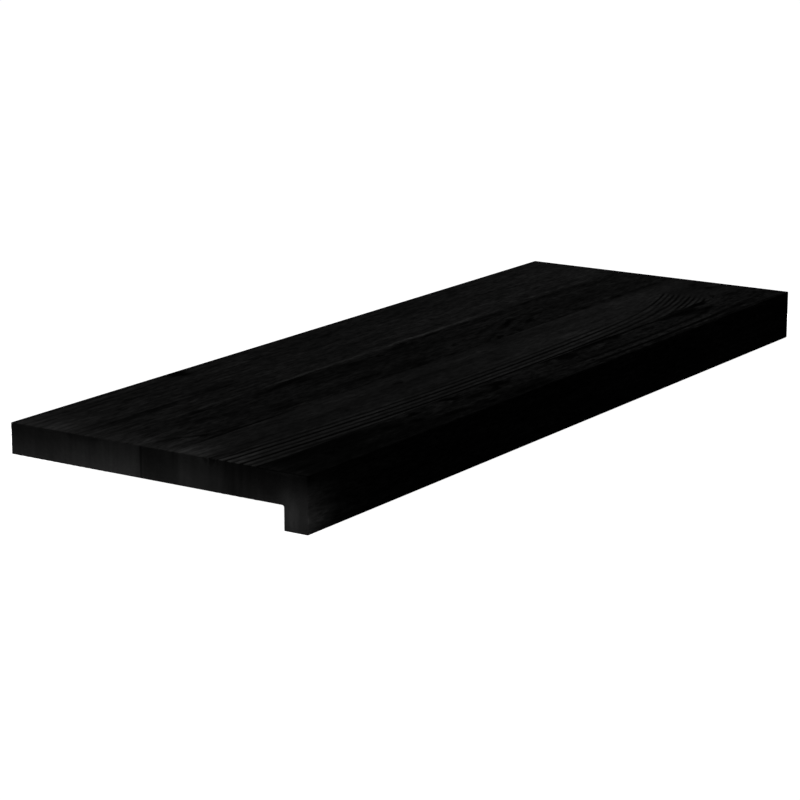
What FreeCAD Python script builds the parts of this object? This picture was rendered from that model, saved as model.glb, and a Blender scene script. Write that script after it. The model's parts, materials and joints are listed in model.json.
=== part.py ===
"""A stair tread with a deep nosing: a solid-wood panel of four strips (staves) glued edge to edge.

Millimetres. X runs along the step from its left end to its right end. Y runs from the front (-Y) to the
rear (+Y), where the next riser stands. Z is up. The origin is on the floor of the bounding box, under the
middle of the tread, so the foot of the nosing is at Z = 0.
"""

import FreeCAD, Part
import os

# The tread as it is sold, ready to be cut to the stair.
TREAD_LENGTH = 800.0
PLATE_THICKNESS = 26.0

# The nosing is the deeper front edge. It drops below the plate and hides the edge of the step it covers.
NOSING_THICKNESS = 22.0
NOSING_DROP = 19.5

# The strips are sawn to different widths, and the depth of the tread is what they add up to.
REAR_STAVE_WIDTH = 98.0
REAR_CENTRE_STAVE_WIDTH = 64.0
FRONT_CENTRE_STAVE_WIDTH = 78.0
NOSING_STAVE_WIDTH = 45.0

# The outer edges (arrises) are only eased, and the cutter leaves a small curve inside the corner.
ARRIS_RADIUS = 1.0
INNER_CORNER_RADIUS = 1.5

# From the front, in the order in which they lie.
STAVE_WIDTHS = {
    "nosing_stave": NOSING_STAVE_WIDTH,
    "front_centre_stave": FRONT_CENTRE_STAVE_WIDTH,
    "rear_centre_stave": REAR_CENTRE_STAVE_WIDTH,
    "rear_stave": REAR_STAVE_WIDTH,
}

TREAD_DEPTH = sum(STAVE_WIDTHS.values())
LEFT_X = -TREAD_LENGTH / 2
FRONT_Y = -TREAD_DEPTH / 2
REAR_Y = TREAD_DEPTH / 2
NOSING_BACK_Y = FRONT_Y + NOSING_THICKNESS
UNDERSIDE_Z = NOSING_DROP
TOP_Z = UNDERSIDE_Z + PLATE_THICKNESS

ALONG = FreeCAD.Vector(1, 0, 0)
SAME_PLACE = 1e-4


def at(y, z):
    """A point of the section, in the plane of the left end."""
    return FreeCAD.Vector(LEFT_X, y, z)


def inner_corner():
    """The curve that joins the underside of the plate to the back of the nosing: its two ends and middle."""
    radius = INNER_CORNER_RADIUS
    centre = at(NOSING_BACK_Y + radius, UNDERSIDE_Z - radius)
    towards_corner = FreeCAD.Vector(0, -1, 1).normalize()
    on_underside = at(NOSING_BACK_Y + radius, UNDERSIDE_Z)
    on_nosing_back = at(NOSING_BACK_Y, UNDERSIDE_Z - radius)
    return on_underside, centre + towards_corner * radius, on_nosing_back


def section():
    """The L-shaped section of the whole tread, seen from its left end."""
    on_underside, middle, on_nosing_back = inner_corner()
    outside = [on_nosing_back, at(NOSING_BACK_Y, 0), at(FRONT_Y, 0), at(FRONT_Y, TOP_Z)]
    outside += [at(REAR_Y, TOP_Z), at(REAR_Y, UNDERSIDE_Z), on_underside]
    curve = Part.Arc(on_underside, middle, on_nosing_back).toShape()
    return Part.Face(Part.Wire([Part.makePolygon(outside), curve]))


def is_arris(edge):
    """True for each sharp edge, and False where the inner corner's curve runs smoothly into a flat face."""
    start, _, end = inner_corner()
    along_tread = [point + ALONG * (TREAD_LENGTH / 2) for point in (start, end)]
    return all(edge.CenterOfMass.distanceToPoint(point) > SAME_PLACE for point in along_tread)


def machined_panel():
    """The glued panel after machining: the section over the whole length, with every outer edge eased."""
    blank = section().extrude(ALONG * TREAD_LENGTH)
    return blank.makeFillet(ARRIS_RADIUS, [edge for edge in blank.Edges if is_arris(edge)])


def stave(panel, front_y, width):
    """The part of the panel that is one strip: what lies between its two glue lines."""
    slab = Part.makeBox(TREAD_LENGTH, width, TOP_Z, at(front_y, 0))
    return panel.common(slab).Solids[0]


def main():
    os.makedirs("parts", exist_ok=True)
    panel = machined_panel()
    front_y = FRONT_Y
    for name, width in STAVE_WIDTHS.items():
        piece = stave(panel, front_y, width)
        piece.exportStep(f"parts/{name}.step")
        print(f"{name}: {width:g} mm wide, {piece.Volume / 1e6:.3f} litres")
        front_y += width
    print(f"tread: {TREAD_LENGTH:g} x {TREAD_DEPTH:g} x {TOP_Z:g} mm, {panel.Volume / 1e6:.3f} litres")


main()
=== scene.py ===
# %% [markdown]
# # A black-stained stair tread
# A stair tread is the board you step on. This one is a panel of four strips of wood ("staves"), glued edge to
# edge, with a deeper front edge called the nosing, and the whole is stained black. The shape is plain, so the
# wood does the work: each strip comes from another place in a tree, and its growth rings show on every face.
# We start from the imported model, which fixes every size and place.

# %% Load the frame
import json
import math
from dataclasses import dataclass

import bmesh
import bpy
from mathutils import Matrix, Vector


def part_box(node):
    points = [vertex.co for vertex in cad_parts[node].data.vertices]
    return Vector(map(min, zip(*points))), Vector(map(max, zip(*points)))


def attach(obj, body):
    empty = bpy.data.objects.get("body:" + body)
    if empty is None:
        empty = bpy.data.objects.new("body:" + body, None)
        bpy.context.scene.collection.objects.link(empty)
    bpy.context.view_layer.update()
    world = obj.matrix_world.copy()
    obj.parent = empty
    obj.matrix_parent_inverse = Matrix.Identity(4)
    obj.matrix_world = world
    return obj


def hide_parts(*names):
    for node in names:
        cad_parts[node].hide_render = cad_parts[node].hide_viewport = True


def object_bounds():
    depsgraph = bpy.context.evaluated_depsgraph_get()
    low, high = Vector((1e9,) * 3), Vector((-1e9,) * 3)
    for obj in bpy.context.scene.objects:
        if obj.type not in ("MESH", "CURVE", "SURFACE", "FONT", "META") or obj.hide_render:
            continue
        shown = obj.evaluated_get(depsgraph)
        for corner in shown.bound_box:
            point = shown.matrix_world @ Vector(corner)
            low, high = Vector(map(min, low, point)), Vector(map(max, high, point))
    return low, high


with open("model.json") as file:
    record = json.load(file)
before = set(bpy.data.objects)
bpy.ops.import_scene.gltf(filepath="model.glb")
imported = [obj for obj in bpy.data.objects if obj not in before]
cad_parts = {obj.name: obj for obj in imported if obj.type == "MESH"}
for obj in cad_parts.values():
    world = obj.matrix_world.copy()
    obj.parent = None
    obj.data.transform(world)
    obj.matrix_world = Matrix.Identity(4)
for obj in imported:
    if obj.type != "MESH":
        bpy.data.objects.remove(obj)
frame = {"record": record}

MM = 0.001
cad_low, cad_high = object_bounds()
tread_size = cad_high - cad_low
print("tread, mm:", [round(side / MM, 2) for side in tread_size])

# %% [markdown]
# ## Two small helpers
# Colours are written as the hex values that a paint shop or an image editor shows. Blender's shaders count in
# linear light, so one function converts them. Node trees are easier to read when a node, its settings and its
# links are made in one line, so one function does that, for shaders and for Geometry Nodes alike.

# %% Colours and nodes
def linear(hex_colour):
    """An sRGB colour such as "#1a1a1a" as linear red, green, blue and alpha, by the standard's formula."""
    shares = [int(hex_colour[i:i + 2], 16) / 255 for i in (1, 3, 5)]
    return [s / 12.92 if s <= 0.04045 else ((s + 0.055) / 1.055) ** 2.4 for s in shares] + [1.0]


def add(tree, kind, inputs=None, **settings):
    """Adds a node and gives back its first output. inputs maps sockets to values, or to outputs to link."""
    node = tree.nodes.new(kind)
    for name, value in settings.items():
        setattr(node, name, value)
    for socket, value in (inputs or {}).items():
        if isinstance(value, bpy.types.NodeSocket):
            tree.links.new(value, node.inputs[socket])
        else:
            node.inputs[socket].default_value = value
    return node.outputs[0] if node.outputs else None


print("a black stain in linear light:", [round(share, 4) for share in linear("#1a1a1a")])

# %% [markdown]
# ## The staves as the sawyer saw them
# A tree grows a shell of wood each year. Where the saw runs along those shells it leaves wide arches and
# closed islands, and where it cuts across them it leaves close, nearly straight lines. All come from one
# rule: how far a point is from the heart of the tree. So each stave says where its heart lay and how wide its
# rings are. Places are given as on a drawing, in millimetres: along from the left end, forward from the rear
# edge, and down from the top face. The values were read from the photo, line by line.

# %% What is known of each stave
LEFT_X, REAR_Y, TOP_Z = cad_low.x, cad_high.y, cad_high.z
BEFORE = -99                     # left of the whole tread, so that nothing starts on it
BEYOND = 900                     # right of the whole tread, so that nothing starts or ends on it


def place_of(along, forward, down=0.0):
    """A place on the drawing as a point in the frame."""
    return Vector((LEFT_X + along * MM, REAR_Y - forward * MM, TOP_Z - down * MM))


@dataclass
class Stave:
    """Lengths in millimetres, and seed picks the noise."""
    node: str
    tone: str                    # the mean colour of its stain
    heart: Vector                # where the rings close round
    taper: float                 # how much a step along the trunk counts against one across it
    ring_width: float
    close_width: float           # the same where the rings lie closer together
    known_ring: float            # the radius of one ring that is clear in the photo
    strong_every: float          # the distance between the rings with the darkest lines
    lines_from: float            # the rings are clear between these two radii, and faint elsewhere
    lines_to: float
    lines_end: float             # and between lines_start and this place along the tread
    line_strength: float
    fibre_strength: float
    even_end: float              # the share of the fibres' contrast that is left at the left end
    seed: float
    lines_start: float = BEFORE
    wide_start: float = BEFORE   # between these two places the rings are wide, and close elsewhere
    wide_end: float = BEYOND
    bend_start: float = BEYOND   # from here to the right the grain bends towards the rear
    fade_start: float = BEYOND   # and from here the wide rings' lines are weaker
    line_sharpness: float = 1.0  # 1 leaves a third of each ring dark, and 0.5 nearly a half

    def figure(self):
        """What the ring rule needs, under the names that the node group's inputs have."""
        return {"Heart": self.heart, "Squeeze": Vector((self.taper, 1.0, 1.0)),
                "Ring width": self.ring_width * MM, "Close width": self.close_width * MM,
                "Known ring": self.known_ring * MM, "Strong every": self.strong_every * MM,
                "Lines from": self.lines_from * MM, "Lines to": self.lines_to * MM,
                "Lines start": LEFT_X + self.lines_start * MM, "Lines end": LEFT_X + self.lines_end * MM,
                "Wide start": LEFT_X + self.wide_start * MM, "Wide end": LEFT_X + self.wide_end * MM,
                "Bend start": LEFT_X + self.bend_start * MM, "Fade start": LEFT_X + self.fade_start * MM,
                "Line sharpness": self.line_sharpness, "Seed": self.seed}


staves = [
    Stave("rear_stave", tone="#383838", heart=place_of(300, -60, 90), taper=0.04, ring_width=5.6,
          close_width=5.6, known_ring=100, strong_every=5.6, lines_from=0, lines_to=400, lines_end=260,
          line_strength=0.18, fibre_strength=0.48, even_end=0.6, seed=1.0),
    Stave("rear_centre_stave", tone="#313131", heart=place_of(640, 178, 20), taper=0.30, ring_width=8.0,
          close_width=8.0, known_ring=60, strong_every=8.0, lines_from=45, lines_to=72, lines_start=455,
          lines_end=600, wide_start=BEYOND, line_strength=0.30, fibre_strength=0.58, even_end=0.8,
          seed=2.0),
    Stave("front_centre_stave", tone="#3a3a3a", heart=place_of(353, 75, 4), taper=0.186, ring_width=6.7,
          close_width=5.0, known_ring=150.2, strong_every=13.4, lines_from=139, lines_to=200,
          lines_end=725, wide_end=665, bend_start=510, fade_start=560, line_strength=1.0,
          line_sharpness=0.55, fibre_strength=0.34, even_end=1.0, seed=3.0),
    Stave("nosing_stave", tone="#2f2f2f", heart=place_of(520, 254.5, 3), taper=0.074, ring_width=10.0,
          close_width=10.0, known_ring=13.5, strong_every=10.0, lines_from=11, lines_to=27,
          lines_start=430, lines_end=676, line_strength=0.92, fibre_strength=0.68, even_end=0.45,
          seed=4.0),
]
for stave in staves:
    low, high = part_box(stave.node)
    print(stave.node, "is", round((high.y - low.y) / MM, 1), "mm wide")

# %% [markdown]
# ## The ring rule
# This is the rule itself, as nodes. The same function is used twice: in Geometry Nodes, where it raises the
# grain, and in the material, where it draws the lines. So the relief and the colour always agree. A little
# noise makes the rings wander and gives each year another width. In one stave the grain bends towards the
# rear, so its places are first moved back to where they would lie in a straight tree.

# %% Where the rings are
WANDER = 1.6 * MM                # how far noise may push a ring from its circle
WANDER_LENGTH = 60 * MM          # and over what distance it does so
YEAR_VARIATION = 0.25            # the span in which a ring's edge may lie, as a share of the ring's width
YEAR_DETAIL = 1.0
NOISE_MEAN = 0.5
BEND = 1.9                       # metres of bend one metre past its start; it grows with the distance cubed


def product(tree, factors):
    """All the factors multiplied."""
    result = factors[0]
    for factor in factors[1:]:
        result = add(tree, "ShaderNodeMath", {0: result, 1: factor}, operation="MULTIPLY")
    return result


def centred(tree, noise, amount):
    """Noise about zero instead of about its mean, and as large as asked."""
    about_zero = {0: noise, 1: amount, 2: -NOISE_MEAN * amount}
    return add(tree, "ShaderNodeMath", about_zero, operation="MULTIPLY_ADD")


def straightened(tree, place, along, figure):
    """The place as it would be if the grain didn't bend."""
    beyond = add(tree, "ShaderNodeMath", {0: along, 1: figure["Bend start"]}, operation="SUBTRACT")
    beyond = add(tree, "ShaderNodeMath", {0: beyond, 1: 0.0}, operation="MAXIMUM")
    bend = product(tree, [beyond, beyond, beyond, -BEND])
    shift = add(tree, "ShaderNodeCombineXYZ", {"Y": bend})
    return add(tree, "ShaderNodeVectorMath", {0: place, 1: shift}, operation="ADD")


def radius_of(tree, place, figure):
    """How far each point is from the heart, across the rings."""
    from_heart = add(tree, "ShaderNodeVectorMath", {0: place, 1: figure["Heart"]}, operation="SUBTRACT")
    across = add(tree, "ShaderNodeVectorMath", {0: from_heart, 1: figure["Squeeze"]}, operation="MULTIPLY")
    sway = add(tree, "ShaderNodeTexNoise",
               {"Vector": across, "W": figure["Seed"], "Scale": 1 / WANDER_LENGTH}, noise_dimensions="4D")
    length = add(tree, "ShaderNodeVectorMath", {0: across}, operation="LENGTH").node.outputs["Value"]
    return add(tree, "ShaderNodeMath", {0: length, 1: centred(tree, sway, 2 * WANDER)}, operation="ADD")


def ring_number(tree, from_known, width):
    """The rings counted from the known one, each year a little wider or narrower than the next."""
    count = add(tree, "ShaderNodeMath", {0: from_known, 1: width}, operation="DIVIDE")
    year = add(tree, "ShaderNodeTexNoise", {"W": count, "Detail": YEAR_DETAIL}, noise_dimensions="1D")
    return add(tree, "ShaderNodeMath", {0: count, 1: centred(tree, year, YEAR_VARIATION)}, operation="ADD")


print("known ring's year:", {stave.node: round(stave.known_ring / stave.ring_width) for stave in staves})

# %% [markdown]
# ## How dark a ring is
# A softwood ring builds up slowly to dense, dark latewood and ends sharply where the next spring begins. Some
# years leave a stronger line than others. Not all lines are equally clear either, so they are made fainter
# outside the stretch where the photo shows them. Past the place where they fade, they are weaker, and the
# innermost ones are gone. Where the rings stand closer, a second, closer set takes over from the wide one.

# %% The dark line of each ring
LINE_BEGINS = 0.20               # in shares of a year's growth, the line comes slowly from here
LINE_FULL = 0.58                 # to here
DARKEST = 0.6                    # where it lies on the radius that the stave gives
LINE_FADES = 0.66                # and it goes faster from here
LINE_ENDS = 0.88                 # to here
FAINT = 0.08                     # what is left of the lines outside their stretch
WEAK_YEAR = 0.72                 # and of the line of the weakest year
FADED = 0.66                     # and of the wide rings' lines past the place where they fade
LOST = 8 * MM                    # and there the clear lines start this much farther from the heart
WIDE_BLEND = 15 * MM             # half the distance over which the wide rings give way to the close ones
FADE_BLEND = 50 * MM             # and over which the lines fade
RADIUS_BLEND = 4 * MM            # and over which they come and go from ring to ring
START_BLEND = 25 * MM            # and at the start of their stretch
END_BLEND = 8 * MM               # and at its end


def ramp(tree, value, start, end, low=0.0, high=1.0):
    """A soft step from low to high while the value goes from start to end."""
    return add(tree, "ShaderNodeMapRange", {"Value": value, "From Min": start, "From Max": end,
                                            "To Min": low, "To Max": high}, interpolation_type="SMOOTHSTEP")


def past(tree, value, limit, softness, low=0.0, high=1.0):
    """A soft step from low to high where the value passes a limit, which may be a socket."""
    beyond = add(tree, "ShaderNodeMath", {0: value, 1: limit}, operation="SUBTRACT")
    return ramp(tree, beyond, -softness, softness, low, high)


def weakened(tree, factor, share):
    """A factor about 1 that keeps only a share of its contrast."""
    contrast = add(tree, "ShaderNodeMath", {0: factor, 1: 1.0}, operation="SUBTRACT")
    return add(tree, "ShaderNodeMath", {0: contrast, 1: share, 2: 1.0}, operation="MULTIPLY_ADD")


def line_of(tree, rings):
    """The dark line of each year: it comes slowly and ends fast."""
    shifted = add(tree, "ShaderNodeMath", {0: rings, 1: DARKEST}, operation="ADD")
    share = add(tree, "ShaderNodeMath", {0: shifted}, operation="FRACT")
    comes = ramp(tree, share, LINE_BEGINS, LINE_FULL)
    goes = ramp(tree, share, LINE_ENDS, LINE_FADES)
    return product(tree, [comes, goes])


def strength_of(tree, from_known, figure):
    """1 in the years with the darkest lines and less in the years between."""
    wave = add(tree, "ShaderNodeMath", {0: from_known, 1: figure["Strong every"]}, operation="DIVIDE")
    turned = add(tree, "ShaderNodeMath", {0: wave, 1: math.tau}, operation="MULTIPLY")
    wave = add(tree, "ShaderNodeMath", {0: turned}, operation="COSINE")
    return ramp(tree, wave, -1.0, 1.0, WEAK_YEAR, 1.0)


def clearness(tree, along, radius, is_wide, figure):
    """How clear the lines are at each point, from FAINT to 1."""
    faded = past(tree, along, figure["Fade start"], FADE_BLEND, 1.0, FADED)
    lost = past(tree, along, figure["Fade start"], FADE_BLEND, 0.0, LOST)
    first = add(tree, "ShaderNodeMath", {0: figure["Lines from"], 1: lost}, operation="ADD")
    return product(tree, [weakened(tree, faded, is_wide),
                          past(tree, radius, first, RADIUS_BLEND, FAINT, 1.0),
                          past(tree, radius, figure["Lines to"], RADIUS_BLEND, 1.0, FAINT),
                          past(tree, along, figure["Lines start"], START_BLEND, FAINT, 1.0),
                          past(tree, along, figure["Lines end"], END_BLEND, 1.0, FAINT)])


def ring_lines(tree, place, figure):
    """How much dark latewood there is at each point, and how clear the lines are there, both from 0 to 1."""
    along = add(tree, "ShaderNodeSeparateXYZ", {0: place})
    radius = radius_of(tree, straightened(tree, place, along, figure), figure)
    from_known = add(tree, "ShaderNodeMath", {0: radius, 1: figure["Known ring"]}, operation="SUBTRACT")
    wide = line_of(tree, ring_number(tree, from_known, figure["Ring width"]))
    close = line_of(tree, ring_number(tree, from_known, figure["Close width"]))
    is_wide = product(tree, [past(tree, along, figure["Wide start"], WIDE_BLEND),
                             past(tree, along, figure["Wide end"], WIDE_BLEND, 1.0, 0.0)])
    widening = add(tree, "ShaderNodeMath", {0: wide, 1: close}, operation="SUBTRACT")
    line = add(tree, "ShaderNodeMath", {0: widening, 1: is_wide, 2: close}, operation="MULTIPLY_ADD")
    line = add(tree, "ShaderNodeMath", {0: line, 1: figure["Line sharpness"]}, operation="POWER")
    clear = clearness(tree, along, radius, is_wide, figure)
    late = product(tree, [line, strength_of(tree, from_known, figure), clear])
    return late, clear


# %% [markdown]
# ## The outline of a stave
# A stave is long and straight, so it is an outline carried along its length. Outer corners are eased, as fine
# sandpaper leaves them. The corner behind the nosing is hollow, as the cutter leaves it. The corners at a
# glue line stay sharp, so that neighbours meet without a groove. Each point also remembers which way is out
# of the wood. That arrow is used three times: it eases the ends, it sinks the grain and, where it is zero, it
# leaves the hidden glue faces alone.

# %% Walk round an outline
ARRIS = 1.0 * MM                 # the radius of the eased edges
HOLLOW = 1.5 * MM                # and of the hollow corner
CORNER_STEPS = 4
STEP_ACROSS = 1.0 * MM           # between points on a face that shows
GLUE_STEPS = 4                   # on a hidden glue face, where nothing is carved


def rounded(corner, radius, before, after):
    """The points and arrows of one eased or hollow corner between two faces that both show."""
    is_hollow = before.cross(after) > 0
    side = -1 if is_hollow else 1
    centre = corner - side * radius * (before + after)
    turned = []
    for step in range(CORNER_STEPS + 1):
        angle = math.radians(90) * step / CORNER_STEPS
        arrow = before * math.cos(angle) + after * math.sin(angle)
        turned.append((centre + side * radius * arrow, arrow))
    return turned


def outline(corners):
    """Points and arrows clockwise round a stave. A corner is (y, z, radius, whether the next face shows)."""
    places = [Vector(corner[:2]) for corner in corners]
    after_each = [(places[(i + 1) % len(places)] - places[i]).normalized() for i in range(len(places))]
    faces = [Vector((-run.y, run.x)) for run in after_each]
    loop = []
    for i, (_, _, radius, shows) in enumerate(corners):
        _, _, next_radius, _ = corners[(i + 1) % len(corners)]
        shown_before = corners[i - 1][3]
        if radius:
            loop += rounded(places[i], radius, faces[i - 1], faces[i])
        else:
            loop.append((places[i], faces[i - 1] * shown_before + faces[i] * shows))
        start = loop[-1][0]
        length = (places[(i + 1) % len(places)] - start).length - next_radius
        steps = round(length / STEP_ACROSS) if shows else GLUE_STEPS
        loop += [(start + after_each[i] * length * k / steps, faces[i] * shows) for k in range(1, steps)]
    return loop


# %% [markdown]
# ## The four outlines
# The three plate staves are rectangles. The front one is L-shaped, because the nosing is part of it: nothing
# in the end grain shows a joint there. The height of the underside and the place of the nosing's back come
# from the mounts in the record, which are measured places.

# %% Corners of each stave
mounts = {mount["name"]: Vector(mount["pos_m"]) for mount in frame["record"]["mounts"]}
UNDERSIDE_Z = mounts["underside"].z
NOSING_BACK_Y = mounts["nosing_back"].y
SHARP = 0                        # the radius of a corner at a glue line


def corners_of(node):
    """Clockwise from the lower front corner, seen with +Y to the right."""
    low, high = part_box(node)
    if node == "rear_stave":
        return [(low.y, low.z, SHARP, False), (low.y, high.z, SHARP, True), (high.y, high.z, ARRIS, True),
                (high.y, low.z, ARRIS, True)]
    if node == "nosing_stave":
        return [(low.y, low.z, ARRIS, True), (low.y, high.z, ARRIS, True), (high.y, high.z, SHARP, False),
                (high.y, UNDERSIDE_Z, SHARP, True), (NOSING_BACK_Y, UNDERSIDE_Z, HOLLOW, True),
                (NOSING_BACK_Y, low.z, ARRIS, True)]
    return [(low.y, low.z, SHARP, False), (low.y, high.z, SHARP, True), (high.y, high.z, SHARP, False),
            (high.y, low.z, SHARP, True)]


outlines = {stave.node: outline(corners_of(stave.node)) for stave in staves}
print("points round each stave:", {node: len(loop) for node, loop in outlines.items()})

# %% [markdown]
# ## From outline to stave
# The outline stands at many stations along the tread. At both ends it shrinks as it nears the end, along a
# quarter circle, which eases the end's edges too. The last outline is closed with one flat face: sawn end
# grain.

# %% Carry the outline along the length
STEP_ALONG = 4.0 * MM
SHARP_ANGLE = math.radians(30)
SAME_PLACE = 0.001 * MM          # points closer than this are one point
FACES_END = 0.999                # a face whose normal has this much along the tread is a sawn end


def stations():
    """Each station along the tread: its x and how much the outline has shrunk there."""
    quarter = [math.radians(90) * step / CORNER_STEPS for step in range(CORNER_STEPS + 1)]
    eased = [(ARRIS * (1 - math.cos(angle)), ARRIS * (1 - math.sin(angle))) for angle in quarter]
    left = [(cad_low.x + inset, shrink) for inset, shrink in eased]
    right = [(cad_high.x - inset, shrink) for inset, shrink in reversed(eased)]
    first, last = left[-1][0], right[0][0]
    steps = round((last - first) / STEP_ALONG)
    return left + [(first + (last - first) * k / steps, 0.0) for k in range(1, steps)] + right


def close_up(mesh):
    """Merges the points that meet where a corner shrinks away, and turns all faces outwards."""
    shape = bmesh.new()
    shape.from_mesh(mesh)
    bmesh.ops.remove_doubles(shape, verts=shape.verts, dist=SAME_PLACE)
    bmesh.ops.recalc_face_normals(shape, faces=shape.faces)
    for face in shape.faces:
        face.smooth = abs(face.normal.x) < FACES_END
    shape.to_mesh(mesh)
    shape.free()
    mesh.set_sharp_from_angle(angle=SHARP_ANGLE)


def blank(name, loop):
    """The plain stave: every station's outline joined to the next, and both ends closed."""
    points = [(x, *(place - arrow * shrink)) for x, shrink in stations() for place, arrow in loop]
    arrows = [number for _ in stations() for _, arrow in loop for number in (0.0, *arrow)]
    around = len(loop)
    faces = [(k, (k + 1) % around, (k + 1) % around + around, k + around) for k in range(around)]
    rows = len(points) // around
    faces = [[corner + row * around for corner in face] for row in range(rows - 1) for face in faces]
    faces += [list(range(around)), list(range(len(points) - around, len(points)))]
    mesh = bpy.data.meshes.new(name)
    mesh.from_pydata(points, [], faces)
    mesh.attributes.new("outward", "FLOAT_VECTOR", "POINT").data.foreach_set("vector", arrows)
    close_up(mesh)
    return mesh


blanks = {stave.node: blank(f"{stave.node}_blank", outlines[stave.node]) for stave in staves}
print("faces of each blank:", {node: len(mesh.polygons) for node, mesh in blanks.items()})

# %% [markdown]
# ## Flecks and patches
# Boards are told apart by their accidents: a small knot on the rear edge, dashes of dark wood where a ring
# comes and goes, patches that drank more stain, a pale line beside a glue line. They were read one by one
# from enlarged parts of the photo. Each is a soft ellipsoid in the wood, so a patch near an end shows
# on the end grain too. Where several lie on one another, they give an uneven patch.

# %% Marks in each stave
@dataclass
class Mark:
    """Half sizes in millimetres. The tone is multiplied by shade in the middle."""
    along: float
    forward: float
    length: float
    width: float
    shade: float
    turn: float = 0.0            # degrees, the right-hand end towards the rear
    down: float = 0.0            # the middle is this deep in the wood, or above it when this is negative
    deep: float = 6.0


# Some marks are painted light and shade: they brighten the top's left end and shape the glow at the near
# corner.
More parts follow.
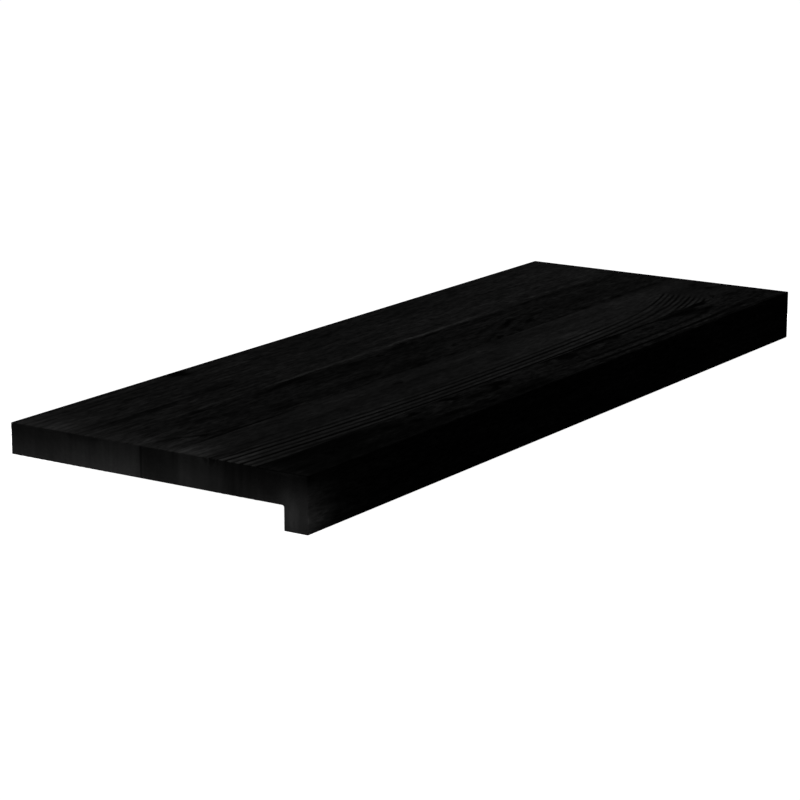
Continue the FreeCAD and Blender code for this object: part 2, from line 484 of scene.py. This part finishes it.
marks = {
    "rear_stave": [
        # a small knot on the rear edge, dark dashes, pale lines beside the glue line, broad patches, and
        # painted light at the left end
        Mark(201, 7, 11, 7, 0.25), Mark(203, 14, 5, 4, 0.5), Mark(20, 60, 25, 4, 0.8),
        Mark(12, 76, 60, 18, 0.79), Mark(75, 69, 55, 4.5, 0.65), Mark(105, 69, 28, 4, 0.75),
        Mark(175, 64, 24, 5, 0.75), Mark(390, 26, 12, 3, 0.7, turn=12), Mark(278, 25, 7, 4, 0.75),
        Mark(605, 24, 12, 3, 0.75, turn=8), Mark(498, 51, 8, 3, 0.75), Mark(40, 92, 12, 2.5, 1.3),
        Mark(130, 96, 35, 3, 1.3), Mark(330, 95.5, 150, 3, 1.4), Mark(500, 95, 70, 3, 1.5),
        Mark(612, 88, 10, 6, 1.4), Mark(642, 93, 9, 3, 1.5), Mark(700, 92, 45, 3, 1.2),
        Mark(440, 20, 130, 30, 0.92), Mark(700, 30, 150, 30, 1.1), Mark(590, 76, 240, 22, 1.14),
        # the first mark here is painted light: it brightens the top at the left end
        Mark(14, 26, 40, 24, 1.09), Mark(345, 72, 70, 24, 0.88), Mark(550, 30, 60, 22, 0.95),
        Mark(176, 67, 36, 9, 0.84),
    ],
    "rear_centre_stave": [
        # dark dashes beside both glue lines, slanting flecks where the rings come up, and painted light at
        # the left end
        Mark(105, 102, 13, 2.5, 0.4), Mark(150, 104, 30, 3, 0.8), Mark(225, 104, 42, 4.5, 0.45, turn=5),
        Mark(240, 110, 12, 2.5, 0.6), Mark(300, 108, 35, 6, 0.7), Mark(350, 111, 4, 3.5, 0.4),
        Mark(392, 107, 20, 6, 0.55), Mark(404, 101.5, 10, 2, 0.5), Mark(450, 101.5, 15, 2.2, 0.3),
        Mark(505, 102, 11, 2.2, 0.5), Mark(545, 103, 25, 2.5, 0.65),
        Mark(612, 100.5, 13, 2.5, 0.4, turn=4), Mark(523, 135, 16, 3, 0.3, turn=25),
        Mark(541, 128.5, 9, 3, 0.4, turn=8), Mark(548, 144, 13, 3, 0.3, turn=18),
        Mark(476, 158, 7, 3, 0.28, turn=35), Mark(427, 141, 6, 3, 0.65),
        Mark(480, 153, 8, 2.5, 1.25, turn=25), Mark(572, 133, 6, 2.5, 0.65), Mark(579, 129, 5, 2.5, 1.25),
        Mark(455, 155, 38, 4, 0.8, turn=18), Mark(509, 158, 9, 2.5, 0.45, turn=20),
        Mark(455, 158, 14, 2, 0.6, turn=20), Mark(390, 159, 8, 3, 0.5), Mark(342, 159, 16, 4, 0.6),
        Mark(613, 154, 5, 2.5, 0.45), Mark(628, 158, 14, 3, 0.5), Mark(686, 158, 11, 3, 0.5),
        Mark(580, 160, 12, 2.5, 0.6), Mark(720, 158, 60, 4, 0.8), Mark(90, 161, 52, 2.6, 0.4),
        Mark(50, 150, 6, 4, 0.5), Mark(25, 138, 14, 2.5, 0.6, turn=-15),
        Mark(43, 146, 12, 2.5, 0.6, turn=-30), Mark(160, 150, 18, 4, 0.65), Mark(280, 147, 22, 3, 0.6),
        Mark(350, 148, 18, 5, 0.6), Mark(90, 122, 14, 2.5, 0.6), Mark(115, 126, 30, 4, 0.75),
        Mark(80, 134, 30, 3, 1.3), Mark(20, 124, 14, 2, 1.3), Mark(350, 130, 220, 45, 0.92),
        # the first mark here is painted light: it brightens the top at the left end
        Mark(12, 148, 30, 12, 1.12), Mark(185, 145, 35, 10, 0.90), Mark(380, 118, 90, 14, 0.93),
        Mark(205, 104.5, 14, 2.4, 0.6, turn=10), Mark(238, 102, 10, 2.2, 0.6), Mark(237, 110, 9, 2.2, 0.7),
        Mark(104, 134.5, 20, 2.6, 1.2),
    ],
    "front_centre_stave": [
        # a few flecks, pale and dark patches, dark dashes on the glue line, and painted light at the left end
        Mark(277, 180, 7, 2.5, 0.45, turn=15), Mark(412, 174, 5, 4, 1.3), Mark(320, 203, 9, 6, 0.75),
        Mark(395, 202, 13, 5, 0.8), Mark(177, 197, 5, 3, 0.65), Mark(640, 178, 150, 22, 1.15),
        Mark(150, 225, 300, 40, 0.96), Mark(560, 215, 130, 22, 1.07), Mark(770, 217, 60, 26, 0.90),
        # the first mark here is painted light: it brightens the top at the left end
        Mark(8, 180, 30, 16, 1.06), Mark(180, 178, 45, 14, 1.07), Mark(500, 239.5, 42, 1.5, 0.5),
        Mark(14, 198.5, 26, 2.2, 0.5, turn=-5), Mark(8, 192, 16, 1.8, 0.7, turn=-5),
        # the last two marks here are painted light: they brighten the top at the left end
        Mark(28, 205.2, 34, 2.0, 0.62, turn=-4), Mark(3, 190, 10, 9, 1.12), Mark(15, 220, 30, 16, 1.09),
        Mark(690, 182, 50, 14, 1.10), Mark(665, 240, 52, 2.6, 0.42), Mark(698, 239.5, 17, 3.0, 0.25),
        Mark(737, 234, 9, 2, 0.45, turn=30), Mark(775, 194, 7, 3, 0.6, turn=20), Mark(775, 211, 7, 4, 0.5),
        Mark(788, 208, 5, 7, 1.3), Mark(465, 216, 70, 24, 1.16), Mark(560, 216, 60, 24, 1.03),
        Mark(500, 178, 90, 16, 1.06),
    ],
    "nosing_stave": [
        # the dark left part, blotches where the stain sank in, painted light at the top's left edge, and
        # painted light and painted shade that shape the lamp's glow on the front face at the near corner
        Mark(50, 262, 150, 36, 0.40, down=-1, deep=2), Mark(225, 278, 215, 11, 0.53, down=-1, deep=2),
        Mark(765, 269, 35, 1.6, 0.6), Mark(712, 272, 38, 2.2, 0.55), Mark(197, 248, 8, 4.5, 0.3),
        Mark(251, 246, 12, 3.5, 0.38, turn=-15), Mark(259, 249, 7, 4, 0.35), Mark(321, 250, 13, 7, 0.35),
        Mark(308, 246, 10, 4, 0.6), Mark(303, 257, 14, 3, 0.5, turn=15), Mark(216, 272, 14, 3.5, 0.4),
        Mark(233, 271, 7, 3, 0.55), Mark(320, 279, 24, 4, 0.55), Mark(240, 257, 12, 2.5, 0.6, turn=15),
        Mark(280, 256, 16, 3, 0.58, turn=12), Mark(437, 247, 14, 8, 0.30), Mark(420, 241.5, 14, 2.4, 0.30),
        Mark(500, 242.5, 45, 3.2, 0.30), Mark(528, 243, 13, 4.5, 0.30), Mark(572, 242, 10, 2.2, 0.35),
        Mark(655, 247, 30, 6, 0.45), Mark(665, 241.5, 45, 2.6, 0.5), Mark(698, 240.5, 16, 3.5, 0.22),
        Mark(687, 256, 10, 4, 0.22, turn=8), Mark(665, 254, 24, 5, 0.68), Mark(672, 262, 6, 2, 0.45),
        Mark(370, 270.5, 45, 2.5, 0.65), Mark(222, 256, 12, 7, 1.3, turn=20), Mark(365, 254, 34, 12, 1.16),
        Mark(490, 253, 14, 3, 1.28, turn=15), Mark(279, 270, 8, 4, 1.3), Mark(232, 246, 14, 4, 1.18),
        Mark(716, 247, 14, 5, 1.08), Mark(565, 254, 60, 8, 1.10), Mark(350, 279, 12, 3, 0.65),
        Mark(265, 277, 8, 3, 0.55), Mark(780, 258, 6, 3, 0.55), Mark(640, 282.5, 170, 1.8, 0.6),
        Mark(250, 251, 130, 12, 0.88), Mark(180, 272, 40, 9, 0.74), Mark(310, 272, 50, 9, 0.82),
        # both marks here are painted light: they brighten the top's left edge and its arris
        Mark(1, 262, 9, 40, 1.28, deep=3), Mark(3, 275, 9, 9, 1.26, down=-1, deep=2.5),
        Mark(165, 252, 40, 9, 0.84), Mark(80, 250, 50, 12, 0.8, down=-1, deep=3),
        Mark(38, 246, 20, 4, 0.65), Mark(105, 247, 22, 4, 0.6), Mark(65, 262, 10, 4, 0.55, turn=-20),
        Mark(152, 258, 13, 4, 0.6), Mark(180, 263, 12, 5, 0.5), Mark(20, 268, 12, 3, 0.6),
        Mark(150, 243, 40, 3, 1.25), Mark(90, 249, 80, 14, 0.86), Mark(765, 272, 50, 9, 1.26),
        # the first mark here is painted light: it brightens the foot of the front face at the near corner
        Mark(21, 285, 13, 10, 1.25, down=35, deep=11), Mark(150, 255, 7, 4, 0.5),
        Mark(163, 258, 7, 3.2, 0.5), Mark(180, 263, 8, 5, 0.5), Mark(197, 248, 6, 4, 0.4),
        Mark(215, 271.5, 11, 3, 0.45), Mark(231, 270, 6, 2.6, 0.55), Mark(240, 274, 6, 2.4, 0.55),
        Mark(257, 247, 7, 4.5, 0.4, turn=20), Mark(246, 243, 7, 2.4, 0.45),
        Mark(268, 255.5, 14, 2.6, 0.6, turn=12), Mark(270, 275, 9, 3, 0.6), Mark(295, 268, 9, 2.6, 0.65),
        Mark(322, 250, 10, 6, 0.45), Mark(309, 255, 11, 3.2, 0.5, turn=20), Mark(320, 278, 8, 3, 0.55),
        Mark(349, 278, 9, 3, 0.6), Mark(350, 268.5, 13, 2.4, 0.65), Mark(238, 264, 9, 5, 1.25),
        Mark(280, 270, 13, 4, 1.2), Mark(247, 250, 8, 2.4, 1.3, turn=25),
        Mark(220, 258, 14, 6, 1.12, turn=20), Mark(418, 247, 6, 3, 1.25),
        Mark(480, 254, 12, 3, 1.2, turn=20), Mark(15, 242, 65, 6, 0.68, down=-1, deep=3),
        Mark(20, 260, 60, 6, 1.16, down=-1, deep=3), Mark(45, 278, 45, 5, 1.12, down=-1, deep=3),
        # painted shade: these two darken the front face along its bottom edge at the near corner
        Mark(12, 286, 14, 5, 0.84, down=44, deep=5), Mark(35, 285, 28, 8, 0.84, down=44, deep=5),
    ],
}
print("marks:", {node: len(found) for node, found in marks.items()})

# %% [markdown]
# ## Marks of the sawn ends
# End grain drinks more stain than a long face, and each stave drank it in its own way: one is pale beside its
# glue line, another is dark in its front half. On the nosing the marks also hold painted shade near the top
# edge and painted light lower down. These marks are as long as the tread, so they are the same at both ends,
# and the finish shows them nowhere else.

# %% Marks on the ends
END_TO_END = 9999                # far longer than the tread


def end_mark(forward, down, width, deep, shade):
    """A mark that goes right through the tread."""
    return Mark(0, forward, END_TO_END, width, shade, down=down, deep=deep)


end_marks = {
    "rear_stave": [
        end_mark(5, 13, 12, 60, 1.22), end_mark(30, 13, 40, 60, 0.94), end_mark(44, 10, 14, 60, 0.87),
        end_mark(94, 14, 10, 30, 1.18),
    ],
    "rear_centre_stave": [
        end_mark(112, 15, 19, 50, 1.58), end_mark(119, 13, 9, 60, 0.89), end_mark(130, 13, 1.2, 30, 0.45),
        end_mark(132.5, 12, 2.6, 40, 0.86), end_mark(148, 13, 19, 60, 0.65), end_mark(150, 4, 14, 9, 1.12),
    ],
    "front_centre_stave": [
        end_mark(162.5, 13, 4, 60, 0.74), end_mark(172, 12, 4, 30, 1.06), end_mark(190, 12, 30, 60, 0.78),
        end_mark(228, 10, 24, 60, 0.41), end_mark(233, 6, 12, 14, 0.78), end_mark(200, 30, 50, 14, 0.78),
    ],
    "nosing_stave": [
        # darker near the top edge is painted shade and lighter lower down is painted light, adding to the low
        # strip light's glow; the rest is the nosing's own tone
        end_mark(242, 4, 8, 12, 0.80), end_mark(248, 5, 18, 20, 0.52), end_mark(274, 4, 20, 13, 0.74),
        end_mark(270, 40, 16, 18, 1.12), end_mark(272.5, 36, 4.5, 16, 1.36), end_mark(285, 32, 8, 20, 0.74),
        end_mark(250, 22, 12, 10, 0.76),
    ],
}
print("marks on the ends:", {node: len(found) for node, found in end_marks.items()})

# %% [markdown]
# ## Black stain on softwood
# A thin black stain on brushed softwood is no film: it soaks in, and every ring, fibre and patch still shows.
# So the tone is one dark grey multiplied by layers, each of a real size: rings, single fibres, bundles of
# fibres, and slow drifts where the wood drank more or less. The rim of a patch follows the fibres, so noise
# frays it, farther along the wood than across it.

# %% Layers of the stain
NOISE_LOW = 0.3                  # noise is nearly always between these two
NOISE_HIGH = 0.7
NOISE_DETAIL = 2.0
FRAY = (30 * MM, 7.0 * MM, 1.5 * MM)   # the span in which a rim may lie, along, across and down
FRAY_LENGTH = 22 * MM            # and the length and width of one tongue of it
FRAY_WIDTH = 4 * MM
RIM_START = 0.4                  # a mark has its full shade up to this share of its half size
RIM_END = 1.4                    # and is gone here


def noise_at(tree, place, scale, seed):
    """Noise with its own size along each axis: scale holds one over the size."""
    scaled = add(tree, "ShaderNodeVectorMath", {0: place, 1: scale}, operation="MULTIPLY")
    return add(tree, "ShaderNodeTexNoise",
               {"Vector": scaled, "W": seed, "Scale": 1.0, "Detail": NOISE_DETAIL}, noise_dimensions="4D")


def spread(tree, noise, low, high):
    """Noise stretched from the two values that it keeps to, to the two that are asked for."""
    return add(tree, "ShaderNodeMapRange", {"Value": noise, "From Min": NOISE_LOW, "From Max": NOISE_HIGH,
                                            "To Min": low, "To Max": high})


def streaks(tree, place, length, width, strength, seed):
    """A factor near 1 that varies in streaks along the fibres, of a real length and width."""
    noise = noise_at(tree, place, (1 / length, 1 / width, 1 / width), seed)
    return spread(tree, noise, 1 - strength, 1 + strength)


def frayed(tree, place, seed):
    """The place shifted a little by noise, so that the rim of a mark follows the fibres."""
    noise = noise_at(tree, place, (1 / FRAY_LENGTH, 1 / FRAY_WIDTH, 1 / FRAY_WIDTH), seed)
    along_across_down = noise.node.outputs["Color"]
    about_zero = add(tree, "ShaderNodeVectorMath", {0: along_across_down, 1: (NOISE_MEAN,) * 3},
                     operation="SUBTRACT")
    shift = add(tree, "ShaderNodeVectorMath", {0: about_zero, 1: FRAY}, operation="MULTIPLY")
    return add(tree, "ShaderNodeVectorMath", {0: place, 1: shift}, operation="ADD")


def shade_of(tree, place, mark):
    """A factor that is the mark's shade in its middle and 1 away from it."""
    middle = place_of(mark.along, mark.forward, mark.down)
    half_size = Vector((mark.length, mark.width, mark.deep)) * MM
    within = add(tree, "ShaderNodeVectorMath", {0: place, 1: middle}, operation="SUBTRACT")
    if mark.turn:
        within = add(tree, "ShaderNodeVectorRotate", {"Vector": within, "Angle": -math.radians(mark.turn)},
                     rotation_type="Z_AXIS")
    within = add(tree, "ShaderNodeVectorMath", {0: within, 1: half_size}, operation="DIVIDE")
    distance = add(tree, "ShaderNodeVectorMath", {0: within}, operation="LENGTH").node.outputs["Value"]
    return ramp(tree, distance, RIM_START, RIM_END, mark.shade, 1.0)


def shades_of(tree, place, found):
    """All the marks' shades together. The renderer holds only 255 numbers at once while it works out a
    shader, so each mark is multiplied in as it is made, and those that have to be turned come last."""
    shade = 1.0
    for mark in sorted(found, key=lambda mark: mark.turn != 0):
        shade = product(tree, [shade_of(tree, place, mark), shade])
    return shade


# %% [markdown]
# ## End grain
# A sawn end shows the fibres end on. They have no length there, so streaks turn into upright bands: the edges
# of the rings, and the places where the saw tore the fibres a little.

# %% Bands on the sawn ends
END_BAND = 8 * MM
END_BAND_HEIGHT = 70 * MM        # higher than the tread, so the bands stand upright
END_BAND_STRENGTH = 0.22
END_FIGURE = 0.12                # the share of the long faces' contrast that is left on the ends
LONG_FACE = 0.6                  # a face whose normal has less than this share along the tread is a long one
SAWN_END = 0.9                   # and one with more than this is a sawn end


def end_share(tree):
    """1 on the sawn ends and 0 on the long faces."""
    normal = add(tree, "ShaderNodeNewGeometry").node.outputs["True Normal"]
    facing = add(tree, "ShaderNodeVectorMath", {0: normal}, operation="ABSOLUTE")
    return ramp(tree, add(tree, "ShaderNodeSeparateXYZ", {0: facing}), LONG_FACE, SAWN_END)


def on_long_faces(tree, factor, is_end):
    """A factor that keeps only a part of its contrast on the sawn ends."""
    kept = add(tree, "ShaderNodeMath", {0: is_end, 1: END_FIGURE - 1, 2: 1.0}, operation="MULTIPLY_ADD")
    return weakened(tree, factor, kept)


def end_bands(tree, place, is_end, seed):
    """A factor near 1 that varies across the sawn ends and is 1 on the long faces."""
    noise = noise_at(tree, place, (0.0, 1 / END_BAND, 1 / END_BAND_HEIGHT), seed)
    bands = spread(tree, noise, -END_BAND_STRENGTH, END_BAND_STRENGTH)
    return add(tree, "ShaderNodeMath", {0: bands, 1: is_end, 2: 1.0}, operation="MULTIPLY_ADD")


print("bands across an end:", round(tread_size.y / END_BAND))

# %% [markdown]
# ## The finish
# A matte black stain that has soaked into sawn, planed and brushed wood. Bare stained fibres scatter light in
# all directions, so the eye sees tone and grain, and hardly any shine. Real fibres are thinner than a tenth
# of a millimetre and would be lost in a picture of the whole tread, so these are drawn coarser.

# %% Stained wood
FIBRE_LENGTH, FIBRE_WIDTH = 9 * MM, 2.0 * MM
BUNDLE_LENGTH, BUNDLE_WIDTH = 34 * MM, 4.5 * MM
DRIFT_LENGTH, DRIFT_WIDTH = 150 * MM, 14 * MM
FIBRE_SHARE = 1.15               # how strong fibres and bundles are, times the stave's own fibre strength
BUNDLE_SHARE = 0.75
DRIFT_STRENGTH = 0.30            # and the drifts, alike in all staves
FIBRE_SEED, BUNDLE_SEED, DRIFT_SEED, FRAY_SEED, BAND_SEED = 10, 20, 30, 40, 50
EARLY_BOOST = 0.60               # how much paler the wood between the lines is
LATE_DEPTH = 1.58                # and how much darker the lines are than that
SPOT_DEPTH = 1.7                 # the camera blurs small marks, so they are drawn deeper than they look
EVEN_LENGTH = 35 * MM            # near the left end the stain took more evenly, over twice this length
STAIN_ROUGHNESS = 0.75
STAIN_IOR = 1.5                  # the index of refraction of wood and of stain
STAIN_SHINE = 0.03               # 0.5 is a smooth surface; the open pores hide most of the shine
FIBRE_BUMP = 0.3                 # how strongly single fibres tilt the light
FIBRE_HEIGHT = 0.1 * MM


def stain(tree, place, stave):
    """The stain's colour at each point, and how high the fibres and the latewood stand there."""
    late, clear = ring_lines(tree, place, stave.figure())
    pale = add(tree, "ShaderNodeMath", {0: clear, 1: EARLY_BOOST * stave.line_strength, 2: 1.0},
               operation="MULTIPLY_ADD")
    lines = add(tree, "ShaderNodeMath", {0: late, 1: -LATE_DEPTH * stave.line_strength, 2: pale},
                operation="MULTIPLY_ADD")
    fibres = streaks(tree, place, FIBRE_LENGTH, FIBRE_WIDTH, FIBRE_SHARE * stave.fibre_strength,
                     stave.seed + FIBRE_SEED)
    bundles = streaks(tree, place, BUNDLE_LENGTH, BUNDLE_WIDTH, BUNDLE_SHARE * stave.fibre_strength,
                      stave.seed + BUNDLE_SEED)
    drift = streaks(tree, place, DRIFT_LENGTH, DRIFT_WIDTH, DRIFT_STRENGTH, stave.seed + DRIFT_SEED)
    along = add(tree, "ShaderNodeSeparateXYZ", {0: place})
    kept = past(tree, along, LEFT_X + EVEN_LENGTH, EVEN_LENGTH, stave.even_end, 1.0)
    fibre_grain = weakened(tree, product(tree, [fibres, bundles]), kept)
    is_end = end_share(tree)
    figure = on_long_faces(tree, product(tree, [lines, fibre_grain, drift]), is_end)
    frayed_place = frayed(tree, place, stave.seed + FRAY_SEED)
    # the marks hold flecks and patches and also painted light at the left end and the near corner; the end
    # marks hold each stave's end tone and painted shade and light on the nosing's end
    spots_and_painted_light = shades_of(tree, frayed_place, marks[stave.node])
    deeper = add(tree, "ShaderNodeMath", {0: spots_and_painted_light, 1: SPOT_DEPTH}, operation="POWER")
    end_spots_and_painted_shading = shades_of(tree, place, end_marks[stave.node])
    end_spots_and_painted_shading = add(tree, "ShaderNodeMath", {0: end_spots_and_painted_shading, 1: is_end}, operation="POWER")
    bands = end_bands(tree, place, is_end, stave.seed + BAND_SEED)
    shade = product(tree, [figure, bands, deeper, end_spots_and_painted_shading])
    tone = add(tree, "ShaderNodeVectorMath", {0: linear(stave.tone)[:3], "Scale": shade}, operation="SCALE")
    height = add(tree, "ShaderNodeMath", {0: fibres, 1: late}, operation="ADD")
    return tone, height


def stained_wood(stave):
    """Softwood, sawn, planed and brushed, with a matte black stain that has soaked in."""
    material = bpy.data.materials.new(f"black_stained_softwood_{stave.node}")
    material.use_nodes = True
    tree = material.node_tree
    place = add(tree, "ShaderNodeTexCoord").node.outputs["Object"]
    tone, height = stain(tree, place, stave)
    bump = add(tree, "ShaderNodeBump", {"Height": height, "Strength": FIBRE_BUMP, "Distance": FIBRE_HEIGHT})
    shader = tree.nodes["Principled BSDF"]
    tree.links.new(tone, shader.inputs["Base Color"])
    tree.links.new(bump, shader.inputs["Normal"])
    shader.inputs["Roughness"].default_value = STAIN_ROUGHNESS
    shader.inputs["IOR"].default_value = STAIN_IOR
    shader.inputs["Specular IOR Level"].default_value = STAIN_SHINE
    return material


# %% [markdown]
# ## Raise the grain
# The relief is shallow, about a tenth of a millimetre, but it is real geometry in the mesh itself. Geometry
# Nodes suit it, because the relief follows a rule. Soft wood sinks in, against the arrow that points out of
# each face, and the latewood stays at full size, so the stave never outgrows its solid.

# %% Geometry Nodes that brush a stave
RELIEF = 0.12 * MM               # how deep the softest wood sinks
FIGURE_KINDS = {"Heart": "Vector", "Squeeze": "Vector"}     # the other inputs are plain numbers


def raised_grain():
    """The node group. Its inputs say which tree the stave came from."""
    tree = bpy.data.node_groups.new("raised_grain", "GeometryNodeTree")
    kinds = {"Geometry": "Geometry"}
    kinds.update({name: FIGURE_KINDS.get(name, "Float") for name in staves[0].figure()})
    kinds.update({"Relief": "Float", "Finish": "Material"})
    for name, kind in kinds.items():
        tree.interface.new_socket(name, in_out="INPUT", socket_type=f"NodeSocket{kind}")
    tree.interface.new_socket("Geometry", in_out="OUTPUT", socket_type="NodeSocketGeometry")
    given = add(tree, "NodeGroupInput").node.outputs
    late, _ = ring_lines(tree, add(tree, "GeometryNodeInputPosition"), given)
    soft = add(tree, "ShaderNodeMath", {0: 1.0, 1: late}, operation="SUBTRACT")
    sunk = add(tree, "ShaderNodeMath", {0: soft, 1: given["Relief"]}, operation="MULTIPLY")
    outward = add(tree, "GeometryNodeInputNamedAttribute", {"Name": "outward"}, data_type="FLOAT_VECTOR")
    inward = add(tree, "ShaderNodeVectorMath", {0: outward, 1: (-1.0, -1.0, -1.0)}, operation="MULTIPLY")
    offset = add(tree, "ShaderNodeVectorMath", {0: inward, "Scale": sunk}, operation="SCALE")
    brushed = add(tree, "GeometryNodeSetPosition", {"Geometry": given["Geometry"], "Offset": offset})
    realized = add(tree, "GeometryNodeRealizeInstances", {"Geometry": brushed})
    finished = add(tree, "GeometryNodeSetMaterial", {"Geometry": realized, "Material": given["Finish"]})
    add(tree, "NodeGroupOutput", {"Geometry": finished})
    return tree


grain_group = raised_grain()
print("raised grain has", len(grain_group.nodes), "nodes")

# %% [markdown]
# ## Make each stave and put it in its node's place
# The node group runs on the blank, its result is kept as a plain mesh, and the modifier goes. The new piece
# rides on the part's one body and takes the place of the imported solid, which is hidden. Its finish is the
# stained wood made for its stave.

# %% Build the staves
def brush(stave):
    """Runs the node group on a blank and gives back the finished piece."""
    piece = bpy.data.objects.new(f"brushed_{stave.node}", blanks[stave.node])
    bpy.context.scene.collection.objects.link(piece)
    modifier = piece.modifiers.new("raised grain", "NODES")
    modifier.node_group = grain_group
    wanted = {**stave.figure(), "Relief": RELIEF, "Finish": stained_wood(stave)}
    for item in grain_group.interface.items_tree:
        if item.name in wanted:
            modifier[item.identifier] = wanted[item.name]
    graph = bpy.context.evaluated_depsgraph_get()
    mesh = bpy.data.meshes.new_from_object(piece.evaluated_get(graph))
    piece.modifiers.remove(modifier)
    piece.data = mesh
    return piece


for stave in staves:
    piece = brush(stave)
    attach(piece, "root")
    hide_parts(stave.node)
    print(piece.name, "has", len(piece.data.polygons), "faces and", piece.data.materials[0].name)

# %% [markdown]
# ## A white studio
# The tread is nearly black and stands on pure white. In a real room a white floor would throw light back at
# the dark front face, and the photo shows none. So this floor shines for the camera alone: its ray visibility
# keeps it out of the bounced light. From below it is see-through, so that the underside can be looked at too.

# %% Floor
FLOOR_SIDE = 60.0
half = FLOOR_SIDE / 2
floor_corners = [(-half, -half, 0), (half, -half, 0), (half, half, 0), (-half, half, 0)]
floor_mesh = bpy.data.meshes.new("floor")
floor_mesh.from_pydata(floor_corners, [], [(0, 1, 2, 3)])
floor = bpy.data.objects.new("floor", floor_mesh)
bpy.context.scene.collection.objects.link(floor)
floor.visible_diffuse = False
floor.visible_glossy = False
floor.visible_shadow = False
floor_paint = bpy.data.materials.new("white_lit_floor")
floor_paint.use_nodes = True
paint_tree = floor_paint.node_tree
paint = paint_tree.nodes["Principled BSDF"]
paint.inputs["Base Color"].default_value = linear("#f4f4f4")
paint.inputs["Roughness"].default_value = 1.0
paint.inputs["Specular IOR Level"].default_value = 0.0
paint.inputs["Emission Color"].default_value = (1, 1, 1, 1)
paint.inputs["Emission Strength"].default_value = 1.0
from_below = add(paint_tree, "ShaderNodeNewGeometry").node.outputs["Backfacing"]
see_through = add(paint_tree, "ShaderNodeBsdfTransparent")
seen = add(paint_tree, "ShaderNodeMixShader", {0: from_below, 1: paint.outputs[0], 2: see_through})
paint_tree.links.new(seen, paint_tree.nodes["Material Output"].inputs["Surface"])
floor_mesh.materials.append(floor_paint)
print("the floor reaches", half, "m from the middle")

# %% [markdown]
# ## The room
# The room gives hardly any light, because the photo's front face is almost pure black. The camera still sees
# it as white, so the tread stands out from every side. The plain view transform keeps that white pure.

# %% Room
ROOM_LIGHT = 0.009
world = bpy.data.worlds.new("white_dim_room")
world.use_nodes = True
room_tree = world.node_tree
to_camera = add(room_tree, "ShaderNodeLightPath").node.outputs["Is Camera Ray"]
strength = add(room_tree, "ShaderNodeMath", {0: to_camera, 1: 1 - ROOM_LIGHT, 2: ROOM_LIGHT},
               operation="MULTIPLY_ADD")
room = room_tree.nodes["Background"]
room.inputs["Color"].default_value = (1, 1, 1, 1)
room_tree.links.new(strength, room.inputs["Strength"])
bpy.context.scene.world = world
bpy.context.scene.view_settings.view_transform = "Standard"
print("the room is", round(1 / ROOM_LIGHT), "times darker to the tread than to the camera")

# %% [markdown]
# ## Soft lamps
# A big soft box overhead lights the top evenly. The photo's left end glows: the end grain is lightest at its
# foot, and a little light creeps round onto the front face and the top. That is what a low strip light close
# to the end does, so one lies beside it, just above the floor. A small lamp off the near corner adds to the
# glow at its foot, and a faint strip hangs 30 mm above the top's left edge. The other three light the right
# end, the rear edge and the underside, which the photo hides. They stand behind the planes of the faces that
# it shows, so none of their light gets there.

# %% Lamps
def soft_box(name, place, target, width, height, watts):
    """A rectangular lamp that faces a target. The camera doesn't see the lamp itself."""
    lamp = bpy.data.lights.new(name, "AREA")
    lamp.shape = "RECTANGLE"
    lamp.size, lamp.size_y = width, height
    lamp.energy = watts
    holder = bpy.data.objects.new(name, lamp)
    holder.location = place
    holder.rotation_euler = (Vector(target) - Vector(place)).to_track_quat("-Z", "Y").to_euler()
    holder.visible_camera = False
    bpy.context.scene.collection.objects.link(holder)


soft_box("overhead_soft_box", place=(0.27, 0.3, 1.9), target=(0.0, 0.0, 0.0), width=1.6, height=1.2,
         watts=4.25)
soft_box("low_strip_light", place=(-0.428, 0.004, 0.012), target=(-0.4, 0.004, 0.012), width=0.285,
         height=0.012, watts=0.0172)
soft_box("corner_light", place=(-0.429, -0.1585, 0.023), target=(-0.42, -0.1395, -0.005), width=0.060,
         height=0.008, watts=0.0080)
soft_box("high_strip_light", place=(-0.399, 0.03, 0.0755), target=(-0.399, 0.03, 0.0455), width=0.008,
         height=0.22, watts=0.006)

soft_box("right_end_light", place=(0.5, 0.0, 0.02), target=(0.4, 0.0, 0.02), width=0.28, height=0.03,
         watts=0.12)
soft_box("rear_edge_light", place=(0.0, 0.25, 0.02), target=(0.0, 0.1425, 0.02), width=0.8, height=0.03,
         watts=0.2)
soft_box("underside_light", place=(0.0, 0.02, -0.4), target=(0.0, 0.02, 0.0), width=0.7, height=0.2,
         watts=0.6)
print("lamps:", {lamp.name: round(lamp.energy, 4) for lamp in bpy.data.lights})

# %% [markdown]
# ## The camera
# The tread's corners in the picture give the camera's place: low, near the left end, looking along the tread
# with a long lens. No lens shift is needed.

# %% Camera
CAMERA_PLACE = (-1.9160, -1.2291, 0.5627)
CAMERA_TURN = math.radians(-56.424)
CAMERA_TILT = math.radians(90 - 13.879)
LENS_MM = 120.2
SENSOR_MM = 36.0
FARTHEST_SEEN = 100.0            # metres, so that the whole floor is in sight
camera_data = bpy.data.cameras.new("camera")
camera_data.sensor_width = SENSOR_MM
camera_data.lens = LENS_MM
camera_data.clip_end = FARTHEST_SEEN
camera = bpy.data.objects.new("camera", camera_data)
camera.location = CAMERA_PLACE
camera.rotation_euler = (CAMERA_TILT, 0.0, CAMERA_TURN)
bpy.context.scene.collection.objects.link(camera)
bpy.context.scene.camera = camera
print("camera is", round((Vector(CAMERA_PLACE) - (cad_low + cad_high) / 2).length, 2), "m from the tread")
